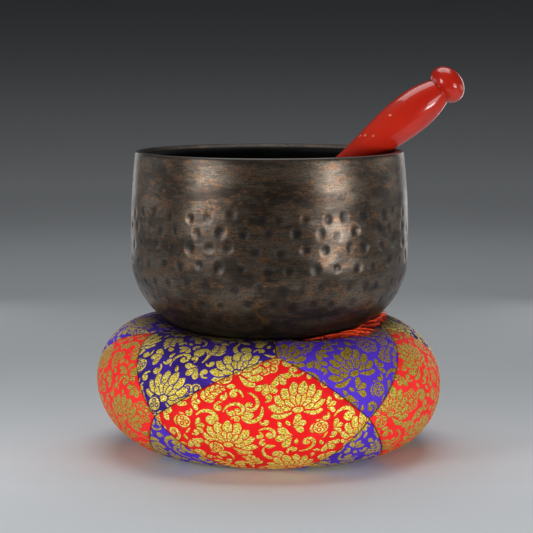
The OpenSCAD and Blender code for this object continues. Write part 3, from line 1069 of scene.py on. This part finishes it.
def make_cushion():
    """The cushion's cover, stuffing and button. Returns the heights of its upper skin."""
    corners = panel_corners()
    n = 22
    nets = {k: on_cushion(panel_rays(c, n)) for k, c in corners.items()}
    swollen = stuff_cushion(nets, n)
    make_stuffing(swollen, n)
    red = brocade_cloth("red_brocade", (0.7, 0.008, 0.01), (0.95, 0.03, 0.028), (0.5, 0.005, 0.007))
    purple = brocade_cloth("purple_brocade", (0.025, 0.008, 0.13), (0.085, 0.03, 0.55), (0.014, 0.004, 0.075))
    tile = brocade()
    offsets = {"side": (0, 0), "top": (21, 37), "base": (40, 11)}
    cells = {"side": 240, "top": 208, "base": 120}
    skins = []
    for name, c in corners.items():
        kind, number = name.split("_")[0], int(name[-1])
        dx, dy = offsets[kind]
        offset = (dx + 23 * (number - 1), dy + 31 * (number - 1))
        is_red = kind == "side"
        middle = sum(c[1:]) / 3
        turn = math.degrees(math.atan2(middle[0], -middle[1]))
        # painted sheen: each patch's satin and gold are painted lighter or darker by which way the patch
        # faces round the cushion
        painted_sheen = {"side": 0.5 - 0.5 * math.cos(math.radians(1.5 * turn)),
                 "top": 0.5 + 0.5 * math.sin(math.radians(2 * turn + 18)),
                 "base": 0.6}[kind]
        skins.append(make_panel(name, c, swollen[name], tile, offset, cells[kind],
                                red if is_red else purple,
                                painted_sheen))
    make_button(tile, purple)
    return height_map(np.concatenate(skins))


# Half the width of the cushion's map of heights
HALF_MAP = 110


def height_map(points):
    """The cushion's upper skin as heights on a net of 1 mm cells round the axis."""
    heights = np.full((2 * HALF_MAP, 2 * HALF_MAP), -1.0)
    cells = np.floor(points[:, :2] + HALF_MAP).astype(int)
    np.maximum.at(heights, (cells[:, 1], cells[:, 0]), points[:, 2])
    return heights


def skin_z(heights, x, y):
    """The skin's height at places, read between the middles of the map's cells."""
    u, v = x + HALF_MAP - 0.5, y + HALF_MAP - 0.5
    i, j = np.floor(v).astype(int), np.floor(u).astype(int)
    s, t = v - i, u - j
    return ((heights[i, j] * (1 - t) + heights[i, j + 1] * t) * (1 - s)
            + (heights[i + 1, j] * (1 - t) + heights[i + 1, j + 1] * t) * s)


# ---------------------------------------------------------------- tie and tassel
def twisted(length, strands, ropes_r, pitch, steps):
    """Centrelines of strands twisted round the Z axis."""
    t = np.linspace(0, 1, steps)
    paths = []
    for k in range(strands):
        a = 2 * math.pi * (k / strands + t * length / pitch)
        paths.append(np.stack([ropes_r * np.cos(a), ropes_r * np.sin(a), t * length], -1))
    return paths


def make_tie(cord_thread):
    """A straight cord of three twisted strands."""
    low, high = (np.array(c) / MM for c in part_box("tie_cord"))
    length = high[2] - low[2]
    paths = [p + [0, 0, low[2]] for p in twisted(length, 3, 0.72, 9.0, 90)]
    points, faces = tubes(paths, 0.76, 10)
    tie = make_mesh("tie", points, faces, [cord_thread])
    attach(tie, "cushion")
    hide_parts("tie_cord")


def make_tassel_knot(cord_thread):
    """A flat overhand knot of twisted cord."""
    low, high = (np.array(c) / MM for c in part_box("tassel_knot"))
    r, h = (high[0] - low[0]) / 2, high[2] - low[2]
    cord_r = 1.15
    t = np.linspace(0, 2 * math.pi, 181)
    line = np.stack([(np.sin(t) + 2 * np.sin(2 * t)) / 3, (np.cos(t) - 2 * np.cos(2 * t)) / 3,
                     -np.sin(3 * t)], -1)
    line *= [r - cord_r, r - cord_r, h / 2 - cord_r]
    line += [0, 0, (low[2] + high[2]) / 2]
    along = unit(np.gradient(line, axis=0))
    side = unit(np.cross(along, [0, 0, 1]))
    other = np.cross(along, side)
    paths = []
    for k in range(3):
        a = 2 * math.pi * k / 3 + 14 * t
        paths.append(line + 0.52 * (side * np.cos(a)[:, None] + other * np.sin(a)[:, None]))
    points, faces = tubes(paths, 0.6, 8)
    knot = make_mesh("tassel_knot_cord", points, faces, [cord_thread])
    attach(knot, "cushion")
    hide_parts("tassel_knot")


def make_tassel_binding(gold_thread):
    """Gold thread wound round the tassel's neck."""
    low, high = (np.array(c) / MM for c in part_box("tassel_binding"))
    turns, thread_r = 5, 0.17
    t = np.linspace(0, 1, 240)
    a = 2 * math.pi * turns * t
    wound_r = high[0] - thread_r - 0.3
    wound_h = turns * 2 * thread_r
    middle = (low[2] + high[2]) / 2
    line = np.stack([wound_r * np.cos(a), wound_r * np.sin(a), middle + wound_h * (t - 0.5)], -1)
    points, faces = tubes([line], thread_r, 8)
    binding = make_mesh("tassel_binding_thread", points, faces, [gold_thread])
    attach(binding, "cushion")
    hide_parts("tassel_binding")


def seat_z(out, gap):
    """Height of the outside of the bowl's foot at a distance from the axis, gap below it."""
    base = BASE_R - np.sqrt(np.maximum((BASE_R + gap) ** 2 - out ** 2, 0))
    round_r = CORNER_R + gap
    corner = CORNER_H - np.sqrt(np.maximum(round_r ** 2 - (out - CORNER_X) ** 2, 0))
    return SEAT_H + np.where(out < CORNER_X + CORNER_R * CORNER_X / (BASE_R - CORNER_H), base, corner)


THREADS = 660
# Bunches of the tassel: share of the threads, turn where they leave the bowl and its spread,
# way they point at last and its spread, shortest and longest free end, height of the heap, and
# how far out they start to bend
BUNCHES = ((0.6, 69, 7.5, 97, 6, 11, 20, 6.5, 45), (0.3, 31, 5.0, 92, 4, 14, 28, 2.8, 47),
           (0.1, 55, 16, 90, 20, 10, 20, 0.8, 43))


def make_tassel(red_thread, heights):
    """Loose threads that leave the neck, spread flat under the bowl and lie on the cushion in bunches."""
    r = np.random.default_rng(11)
    neck_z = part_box("tassel_binding")[0][2] / MM
    paths, tints_and_shades = [], []
    for share, exit_turn, exit_spread, last_turn, last_spread, shortest, longest, heap, inner in BUNCHES:
        for _ in range(round(share * THREADS)):
            turn = float(np.clip(r.normal(exit_turn, exit_spread), FAN_FROM, FAN_TO))
            last = r.normal(last_turn, last_spread)
            free = r.uniform(shortest, longest)
            layer = r.random()
            wave, phase = r.normal(0, 2.5), r.uniform(0, 6.28)
            steps = 30
            far = np.linspace(1.2, inner + free, steps)
            heading = turn + (last - turn) * ease((far - inner) / 13) + wave * np.sin(far / 5.5 + phase)
            a = np.radians(heading)
            step = np.diff(far, prepend=0)
            x, y = np.cumsum(step * np.sin(a)), np.cumsum(-step * np.cos(a))
            out = np.hypot(x, y)
            seat = seat_z(out, SEAT_GAP)
            skin = skin_z(heights, x, y)
            thinning = 1 - 0.5 * ease((far - far[-1] + 9) / 9)
            lift = 0.25 + layer * (1.0 + (heap - 1.0) * ease((out - 50) / 7) * thinning)
            low = np.minimum(skin + lift, seat)
            slot = seat - (THREAD_ROOM - 0.6) * layer
            z = slot + (low - slot) * ease((out - 30) / 12)
            rising = ease((out - 1.5) / 10)
            z = (neck_z + 0.2) * (1 - rising) + z * rising
            paths.append(np.stack([x, y, z], -1))
            # each strand's colour is random, scaled by painted shade: the lower it lies in the heap, the
            # darker it is painted
            tints_and_shades.append(r.random() * (0.35 + 0.65 * layer))
    points, faces = tubes(paths, 0.2, 5)
    tint_and_shade = np.repeat(tints_and_shades, len(points) // len(paths))
    tassel = make_mesh("tassel", points, faces, [red_thread], None, {"tint_and_shade": tint_and_shade})
    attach(tassel, "cushion")
    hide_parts("tassel_threads")


def make_button(tile, cloth):
    """The covered button under the cushion: brocade gathered over a card, domed inside."""
    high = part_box("base_button")[1][2] / MM
    dome_r = TUFT_R - 0.3
    start = math.degrees(math.asin(-BASE_TUFT_Z / dome_r))
    end = math.degrees(math.asin((high - BASE_TUFT_Z) / dome_r))
    dome = arc(0, BASE_TUFT_Z, dome_r, start, end, 14)
    face = np.stack([np.linspace(0, dome[0, 0] - 0.6, 26), np.full(26, 0.0)], -1)
    edge = arc(dome[0, 0] - 0.65, 0.6, 0.6, -80, 10, 6)
    outline = np.concatenate([face, edge, dome[1:], [[0, high]]])
    points, faces = lathe(outline, 160)
    turn = np.arctan2(points[:, 0], -points[:, 1])
    out = np.hypot(points[:, 0], points[:, 1])
    points[:, 2] += 0.12 * np.sin(26 * turn) * ease((out - 8) / 3) * (points[:, 2] > 0.2)
    flat = points[:, :2] + [12, 60]
    values = {"gold": sample(tile, flat), "cloth": flat_points(flat),
              "painted_sheen": np.full(len(flat), 0.6), "seam": np.full(len(flat), 9.0)}
    button = make_mesh("covered_button", points, faces, [cloth], None, values)
    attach(button, "cushion")
    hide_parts("base_button")


# ---------------------------------------------------------------- striker
def from_waist(rise, part):
    """The radius part of the way from the waist to a place that is thicker by rise."""
    return WAIST_D / 2 + rise * (1 - np.cos(np.pi * np.clip(part, 0, 1))) / 2


def swell(z):
    """The striker's radius along its waist and grip."""
    up = from_waist((GRIP_D - WAIST_D) / 2, (z - WAIST_Z) / (GRIP_Z - WAIST_Z))
    down = from_waist(CORE_R - WAIST_D / 2, (WAIST_Z - z) / (WAIST_Z - SLEEVE_L))
    return np.where(z < WAIST_Z, down, up)


def striker_place():
    """Stands the striker on the rim: local Z runs up its axis from the head."""
    rim_r = float(wall_out(RIM_H)) - LAND_W
    gap = float(swell(RIM_Z)) + 0.3
    lean = math.radians(LEAN)
    where = (rim_r - gap * math.sin(lean), 0, SEAT_H + RIM_H + gap * math.cos(lean))
    return (Matrix.Rotation(math.radians(LEAN_TURN - 90), 4, "Z")
            @ Matrix.Translation([v * MM for v in where])
            @ Matrix.Rotation(math.radians(90 - LEAN), 4, "Y")
            @ Matrix.Translation((0, 0, -RIM_Z * MM)))


def handle_outline():
    """The handle's outline from the core's end up: core, waist, grip, shoulder and knob."""
    grip_r = ((NECK_Z - GRIP_Z) ** 2 + ((GRIP_D - NECK_D) / 2) ** 2) / (GRIP_D - NECK_D)
    grip_turn = math.asin((NECK_Z - GRIP_Z) / grip_r)
    shaft = np.linspace(SLEEVE_L, GRIP_Z, 150)
    a = np.linspace(0, grip_turn, 26)[1:]
    shoulder = np.stack([GRIP_D / 2 - grip_r * (1 - np.cos(a)), GRIP_Z + grip_r * np.sin(a)], -1)
    start = math.asin((NECK_Z - KNOB_Z) / (KNOB_L / 2))
    a = np.linspace(start, math.pi / 2, 46)
    knob = np.stack([KNOB_D / 2 * np.cos(a), KNOB_Z + KNOB_L / 2 * np.sin(a)], -1)
    core = np.array([[0, TIP_T], [CORE_R - 0.4, TIP_T], [CORE_R, TIP_T + 0.4]])
    return np.concatenate([core, upright(CORE_R, 4, SLEEVE_L - 1, 20),
                           np.stack([swell(shaft), shaft], -1), shoulder, knob])


# Chips in the lacquer: place along the striker, turn round it, radius
CHIPS = ((155.5, -43, 0.5), (136.5, -72, 0.4), (138.5, -52, 0.4), (141.5, -28, 0.35),
         (169, 150, 0.35), (177, 240, 0.4))


def make_handle(lacquer, place):
    """The turned handle, with a groove at its neck and small chips in its lacquer."""
    points, faces = lathe(handle_outline(), 128)
    turn = np.degrees(np.arctan2(points[:, 0], -points[:, 1]))
    out = np.hypot(points[:, 0], points[:, 1])
    z = points[:, 2]
    # marks the neck's groove for a band of painted shade in the lacquer
    groove = np.exp(-((z - NECK_Z) / 0.45) ** 2)
    chip = np.zeros(len(points))
    for at, around, r in CHIPS:
        across = np.radians((turn - around + 180) % 360 - 180) * out
        chip = np.maximum(chip, ease((r + 0.25 - np.hypot(across, z - at)) / 0.4))
    points[:, :2] *= (1 - 0.3 * chip / np.maximum(out, 1))[:, None]
    values = {"groove": groove, "chip": chip}
    handle = make_mesh("lacquered_handle", points, faces, [lacquer], None, values, place)
    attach(handle, "striker")
    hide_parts("striker_handle")


def make_sleeve(skin, place):
    """The laced sleeve: a leather tube with a slit, its edges and mouth worn soft."""
    slit = math.radians(3.0)
    around = 150
    a = np.linspace(slit / 2, 2 * math.pi - slit / 2, around) + math.pi / 2
    straight_top = SLEEVE_L - SLEEVE_CLOSE - 2
    outer = np.concatenate([arc(HEAD_D / 2 - 0.7, 0.7, 0.7, -90, 0, 5),
                            upright(HEAD_D / 2, 1.5, straight_top, 40)])
    t = np.linspace(0, 1, 14)
    neck = np.stack([HEAD_D / 2 - (HEAD_D / 2 - CORE_R - LEATHER_T) * ease(t),
                     straight_top + (SLEEVE_CLOSE + 1.5) * t], -1)
    mouth = np.array([[CORE_R + LEATHER_T - 0.5, SLEEVE_L], [CORE_R + 0.25, SLEEVE_L]])
    inner = np.array([[CORE_R + 0.15, SLEEVE_L - 1.5], [CORE_R + 0.15, SLEEVE_L - SLEEVE_CLOSE + 0.4],
                      [CORE_R + FELT_T + 0.1, SLEEVE_L - SLEEVE_CLOSE - 1.4], [CORE_R + FELT_T + 0.1, 0.1]])
    profile = np.concatenate([outer, neck[1:], mouth, inner])
    r = np.repeat(profile[:, :1], around, 1)
    z = np.repeat(profile[:, 1:], around, 1)
    near = np.exp(-(np.minimum(np.arange(around), around - 1 - np.arange(around)) / 3.0) ** 2)
    r = r - 0.3 * near[None] * (r > HEAD_D / 2 - 0.9)
    r = r + 0.12 * np.sin(5 * a[None] + z / 9) * (r > HEAD_D / 2 - 0.9)
    points = np.stack([r * np.cos(a), r * np.sin(a), z], -1).reshape(-1, 3)
    rows = len(profile)
    quads = grid_faces(rows, around)
    ends = []
    for col in (0, around - 1):
        rim = np.arange(rows) * around + col
        pairs = [(rim[i], rim[i + 1], rim[rows - 2 - i], rim[rows - 1 - i]) for i in range(rows // 2)]
        ends += [p if col == 0 else p[::-1] for p in pairs if len(set(p)) == 4]
    foot = np.stack([(rows - 1) * around + np.arange(around - 1), (rows - 1) * around + np.arange(1, around),
                     np.arange(1, around), np.arange(around - 1)], -1)
    sleeve = make_mesh("laced_sleeve", points, [quads, np.array(ends), foot], [skin], place=place)
    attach(sleeve, "striker")
    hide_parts("leather_sleeve")


def make_felt(wool, place):
    """The felt round the core, its end showing a little rough behind the tip."""
    steps = np.linspace(TIP_T + 0.2, SLEEVE_L - SLEEVE_CLOSE - 1.6, 30)
    outer = np.stack([CORE_R + FELT_T - 0.15 + 0.1 * np.sin(steps * 1.7), steps], -1)
    inner = upright(CORE_R + 0.08, steps[-1], steps[0], 4)
    ring = np.concatenate([outer, inner])
    around = 96
    a = np.arange(around) * 2 * math.pi / around
    points = np.stack([ring[:, :1] * np.cos(a), ring[:, :1] * np.sin(a),
                       np.repeat(ring[:, 1:], around, 1)], -1)
    rows = len(ring)
    close = grid_faces(2, around, True)
    close = np.where(close < around, close + (rows - 1) * around, close - around)
    faces = [grid_faces(rows, around, True), close]
    piece = make_mesh("felt_layer", points.reshape(-1, 3), faces, [wool], place=place)
    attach(piece, "striker")
    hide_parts("felt_padding")


def make_lacing(lace, place):
    """Cross stitches that draw the sleeve's edges together, each sunk at its ends."""
    paths = []
    stitches = 13
    for k in range(stitches):
        middle = 5 + k * (SLEEVE_L - SLEEVE_CLOSE - 9) / (stitches - 1)
        t = np.linspace(-1, 1, 13)
        a = math.pi + np.radians(17) * t
        r = HEAD_D / 2 + 0.35 - 1.0 * np.abs(t) ** 5
        paths.append(np.stack([r * np.cos(a), r * np.sin(a), middle + 1.9 * t], -1))
    points, faces = tubes(paths, 0.5, 8)
    piece = make_mesh("lacing", points, faces, [lace], place=place)
    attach(piece, "striker")
    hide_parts("sleeve_lacing")


def make_tip(skin, place):
    """The leather disc on the end, its face slightly domed and worn round at the edge."""
    r, top = CORE_R + FELT_T - 0.1, TIP_T - 0.06
    face = np.stack([np.linspace(0, r - 0.6, 24), np.full(24, 0.0)], -1)
    face[:, 1] += 0.25 * (face[:, 0] / r) ** 2
    edge = arc(r - 0.55, 0.8, 0.55, -90, 60, 7)
    points, faces = lathe(np.concatenate([face, edge, [[r - 1.2, top], [0, top]]]), 96)
    tip = make_mesh("tip_disc", points, faces, [skin], place=place)
    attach(tip, "striker")
    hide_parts("leather_tip")


def make_striker():
    place = striker_place()
    make_handle(red_lacquer(), place)
    make_sleeve(leather("brown_leather", (0.1, 0.035, 0.015), (0.26, 0.105, 0.045)), place)
    make_felt(felt(), place)
    make_lacing(leather("dark_lace", (0.02, 0.01, 0.006), (0.06, 0.03, 0.016)), place)
    make_tip(leather("tip_leather", (0.14, 0.055, 0.025), (0.32, 0.15, 0.07)), place)


# ---------------------------------------------------------------- studio
# The floor's painted shade: how far away it is, in metres behind the object and then all round, and the grey
# painted there in place of the fall of the light
PAINTED_FLOOR_SHADES = ((-0.17, 0.73), (-0.08, 0.8), (0.065, 0.61), (0.27, 0.425), (0.573, 0.35), (1.06, 0.42),
               (1.41, 0.46), (1.645, 0.46), (1.925, 0.29), (2.1, 0.16), (2.222, 0.105), (2.5, 0.08))
# Metres that the floor is flat for, and how steeply it curls up after them
FLOOR_FLAT_R = 1.2
FLOOR_RISE = 0.27


def lay_floor(name, xs, ys, material, mirrored):
    """One stretch of a round floor that curls up at its edge, painted with shade that darkens further away.
    """
    x, y = (np.ravel(a) for a in np.meshgrid(xs, ys))
    out = np.hypot(x, y)
    z = FLOOR_RISE * np.maximum(out - FLOOR_FLAT_R, 0) ** 3
    away = y + (out - y) * ease((out - 0.35) / 0.4)
    shade = np.interp(away, *zip(*PAINTED_FLOOR_SHADES))
    points = np.stack([x, y, z], -1) / MM
    floor = make_mesh(name, points, [grid_faces(len(ys), len(xs))], [material], None, {"shade": shade})
    floor.visible_glossy = mirrored
    floor.visible_diffuse = mirrored


def make_studio():
    """A pale floor all round. The bowl mirrors only the stretch beside and behind it."""
    f = Finish("backdrop")
    grain = f.noise(f.place(), 30, 2, 0.5)
    shade = f.attribute("shade")
    tint_and_shade = f.node("CombineColor", {}, {"Red": f.times(shade, 0.95), "Green": shade,
                                       "Blue": f.times(shade, 1.045)})
    material = f.done(Base_Color=tint_and_shade, Roughness=f.between(grain, 0, 1, 0.85, 0.95), Specular_IOR_Level=0.1)
    front, half, edge = -0.3, 0.9, 2.9
    across = np.linspace(-half, half, 31)
    behind = np.linspace(front, edge, 65)
    ahead = np.linspace(-edge, front, 53)
    beside = np.linspace(half, edge, 41)
    lay_floor("floor", across, behind, material, True)
    lay_floor("front_floor", across, ahead, material, False)
    whole = np.linspace(-edge, edge, 117)
    lay_floor("right_floor", beside, whole, material, False)
    lay_floor("left_floor", -beside[::-1], whole, material, False)


def softbox(name, place, aim, wide, tall, watts):
    """A rectangular lamp at a place, aimed at another."""
    data = bpy.data.lights.new(name, "AREA")
    data.shape = "RECTANGLE"
    data.size, data.size_y = wide, tall
    data.energy = watts
    lamp = bpy.data.objects.new(name, data)
    lamp.location = place
    away = Vector(place) - Vector(aim)
    lamp.rotation_euler = away.to_track_quat("Z", "Y").to_euler()
    lamp.visible_camera = False
    bpy.context.scene.collection.objects.link(lamp)
    return lamp


# Upright lamps: turn, then metres from the axis, wide, lower and upper edge, then watts, and
# whether they show in glossy things
LAMPS = (("left_box", -52, 1.25, 0.40, 0.08, 0.61, 6.4, True),
         ("right_box", 53, 1.25, 0.50, 0.0, 0.44, 3.1, True),
         ("right_low", 53, 1.2, 0.34, 0.0, 0.13, 2.5, True),
         ("left_side", -110, 1.1, 0.7, 0.04, 0.34, 0.72, True),
         ("right_side", 110, 1.1, 0.7, 0.04, 0.34, 0.6, True),
         ("left_edge", -149, 0.62, 0.14, 0.03, 0.31, 0.165, True),
         ("right_edge", 149, 0.62, 0.14, 0.03, 0.31, 0.22, True),
         ("left_fill", -30, 1.3, 0.5, 0.0, 0.2, 5.9, False),
         ("right_fill", 30, 1.3, 0.5, 0.0, 0.2, 6.5, False))


def make_lights():
    """Upright boxes that show as bands in the bronze, a low fill for the cloth, and a top light."""
    for name, turn, far, wide, low, high, watts, mirrored in LAMPS:
        a = math.radians(turn)
        middle = (low + high) / 2
        place = (far * math.sin(a), -far * math.cos(a), middle)
        lamp = softbox(name, place, (0, 0, middle), wide, high - low, watts)
        lamp.visible_glossy = mirrored
    softbox("top_box", (0, 0.36, 1.2), (0, 0.1, 0.1), 1.1, 0.9, 9)
    world = bpy.data.worlds.new("studio")
    world.use_nodes = True
    sky = world.node_tree.nodes["Background"].inputs
    sky["Color"].default_value = (0.85, 0.88, 0.9, 1)
    sky["Strength"].default_value = 0.035
    bpy.context.scene.world = world
    bpy.context.scene.view_settings.view_transform = "Standard"


make_camera()
make_bowl()
cushion_heights = make_cushion()
red_thread = thread("red_thread", (0.12, 0.002, 0.002), (1.0, 0.085, 0.02), 500, 0.42, True)
make_tassel(red_thread, cushion_heights)
cord_thread = thread("twisted_red_cord", (0.3, 0.01, 0.008), (0.62, 0.03, 0.02), 900)
make_tie(cord_thread)
make_tassel_knot(cord_thread)
make_tassel_binding(thread("gold_thread", (0.35, 0.2, 0.04), (0.95, 0.72, 0.3), 800, 0.3))
make_striker()
make_studio()
make_lights()
